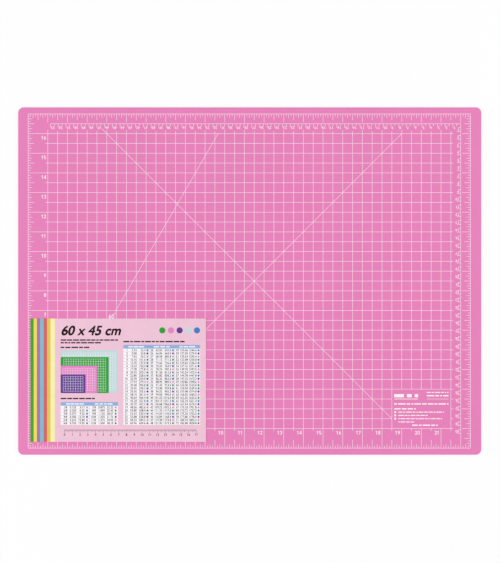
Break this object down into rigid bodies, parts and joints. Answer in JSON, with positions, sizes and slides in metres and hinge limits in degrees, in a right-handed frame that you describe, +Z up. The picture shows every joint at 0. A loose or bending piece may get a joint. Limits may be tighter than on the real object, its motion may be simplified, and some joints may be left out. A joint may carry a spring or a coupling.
{
  "type": "cutting mat",
  "caption": "Flat self-healing cutting mat with rounded corners: a laminate of vinyl plies with printed inch and centimetre rules, a grid and angle lines, and a loose paper card lying on it.",
  "frame": {"origin": "middle of the mat's underside, on the table", "axes": "+X along the long side to the right as the inch numbers read, +Y to the back, +Z up out of the printed face"},
  "size_m": [0.5982, 0.4488, 0.0035],
  "materials": {
    "skin_vinyl": "matt pink vinyl with a fine emboss",
    "healing_vinyl": "soft pink vinyl, cut edge",
    "reverse_vinyl": "matt purple vinyl with a fine emboss",
    "reverse_healing_vinyl": "soft purple vinyl, cut edge",
    "core_plastic": "firm white plastic sheet, cut edge",
    "print_ink": "matt white screen-print ink",
    "card_paper": "coated paper with a printed face"
  },
  "bodies": {
    "mat": {"face_skin": "skin_vinyl", "face_healing_ply": "healing_vinyl", "core_sheet": "core_plastic", "reverse_healing_ply": "reverse_healing_vinyl", "reverse_skin": "reverse_vinyl", "front_inch_scale": "print_ink", "back_inch_scale": "print_ink", "left_inch_scale": "print_ink", "right_inch_scale": "print_ink", "inch_numbers": "print_ink", "grid_columns": "print_ink", "grid_rows": "print_ink", "bias_lines": "print_ink", "angle_marks": "print_ink", "note_print": "print_ink", "back_cm_scale": "print_ink", "right_cm_scale": "print_ink", "back_cm_numbers": "print_ink", "right_cm_numbers": "print_ink", "reverse_long_scales": "print_ink", "reverse_short_scales": "print_ink", "reverse_numbers": "print_ink", "reverse_columns": "print_ink", "reverse_rows": "print_ink"},
    "card": {"insert_card": "card_paper"}
  },
  "joints": [
    {"name": "card_lift", "type": "slide", "parent": "mat", "child": "card", "axis": [0, 0, 1], "range_m": [0, 0.1]}
  ]
}
